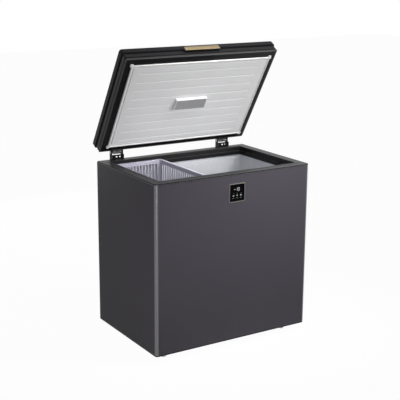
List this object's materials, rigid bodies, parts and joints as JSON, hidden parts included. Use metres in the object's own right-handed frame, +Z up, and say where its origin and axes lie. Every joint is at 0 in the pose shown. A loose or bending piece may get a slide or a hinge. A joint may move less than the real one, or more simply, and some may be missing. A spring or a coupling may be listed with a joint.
{
  "type": "chest freezer",
  "caption": "Free-standing top-opening chest freezer with a sprung hinged lid, stepped collar, hanging basket and a small front display.",
  "frame": {"origin": "on the floor, under the centre of the whole object's bounding box with the lid standing open as drawn", "axes": "+Z up; +X to the user's right when facing the front; +Y from the front to the back, so the front faces -Y"},
  "size_m": [0.79, 0.5784, 1.3077],
  "materials": {
    "graphite_paint": "satin",
    "black_plastic": "fine grain",
    "black_steel": "satin",
    "galvanised_steel": "matt zinc",
    "liner_sheet": "embossed, satin",
    "pale_plastic": "satin",
    "white_gasket": "smooth",
    "black_rubber": "matt",
    "gold_trim": "anodised champagne gold",
    "insulation_foam": "rigid foam, matt",
    "copper": "drawn tube",
    "dark_glass": "gloss black",
    "bezel_metal": "satin warm grey",
    "circuit_board": "solder mask",
    "frosted_lens": "frosted",
    "basket_plastic": "satin",
    "foot_plastic": "matt"
  },
  "bodies": {
    "cabinet": {"outer_wrapper": "graphite_paint", "back_panel": "graphite_paint", "base_pan": "galvanised_steel", "top_collar": "black_plastic", "inner_liner": "liner_sheet", "cabinet_foam": "insulation_foam", "temperature_sensor": "black_plastic", "evaporator_coil": "copper", "condenser_coil": "copper", "drain_tube": "pale_plastic", "display_bezel": "bezel_metal", "display_glass": "dark_glass", "display_housing": "black_plastic", "display_board": "circuit_board", "compressor_plate": "galvanised_steel", "compressor": "black_steel", "start_relay_cover": "black_plastic", "filter_drier": "copper", "discharge_pipe": "copper", "suction_pipe": "copper", "control_box": "pale_plastic", "side_vent_grille": "black_plastic", "rear_cover": "galvanised_steel", "power_inlet_gland": "black_plastic", "compressor_grommet_1": "black_rubber", "compressor_grommet_2": "black_rubber", "compressor_grommet_3": "black_rubber", "compressor_grommet_4": "black_rubber", "foot_front_left": "foot_plastic", "foot_front_right": "foot_plastic", "foot_rear_left": "foot_plastic", "foot_rear_right": "foot_plastic", "hinge_base_left": "black_steel", "hinge_pin_left": "galvanised_steel", "hinge_spring_left": "galvanised_steel", "hinge_screw_left_1": "galvanised_steel", "hinge_screw_left_2": "galvanised_steel", "hinge_base_right": "black_steel", "hinge_pin_right": "galvanised_steel", "hinge_spring_right": "galvanised_steel", "hinge_screw_right_1": "galvanised_steel", "hinge_screw_right_2": "galvanised_steel"},
    "lid": {"lid_frame": "black_plastic", "lid_skin": "black_plastic", "lid_inner_panel": "pale_plastic", "lid_foam": "insulation_foam", "lid_gasket": "white_gasket", "lid_cable_cover": "black_plastic", "lamp_housing": "pale_plastic", "lamp_lens": "frosted_lens", "lamp_board": "circuit_board", "lamp_tilt_switch": "black_plastic", "handle_trim": "gold_trim", "handle_base": "black_plastic", "hinge_leaf_left": "black_steel", "hinge_leaf_right": "black_steel"},
    "basket": {"storage_basket": "basket_plastic"},
    "plug": {"drain_plug": "black_rubber"}
  },
  "joints": [
    {"name": "lid_hinge", "type": "hinge", "parent": "cabinet", "child": "lid", "pos_m": [0, 0.26062, 0.817], "axis": [1, 0, 0], "range_deg": [-21.5, 58.5]},
    {"name": "basket_slide", "type": "slide", "parent": "cabinet", "child": "basket", "axis": [1, 0, 0], "range_m": [0, 0.435]},
    {"name": "plug_pull", "type": "slide", "parent": "cabinet", "child": "plug", "axis": [0, 0, 1], "range_m": [0, 0.025]}
  ]
}
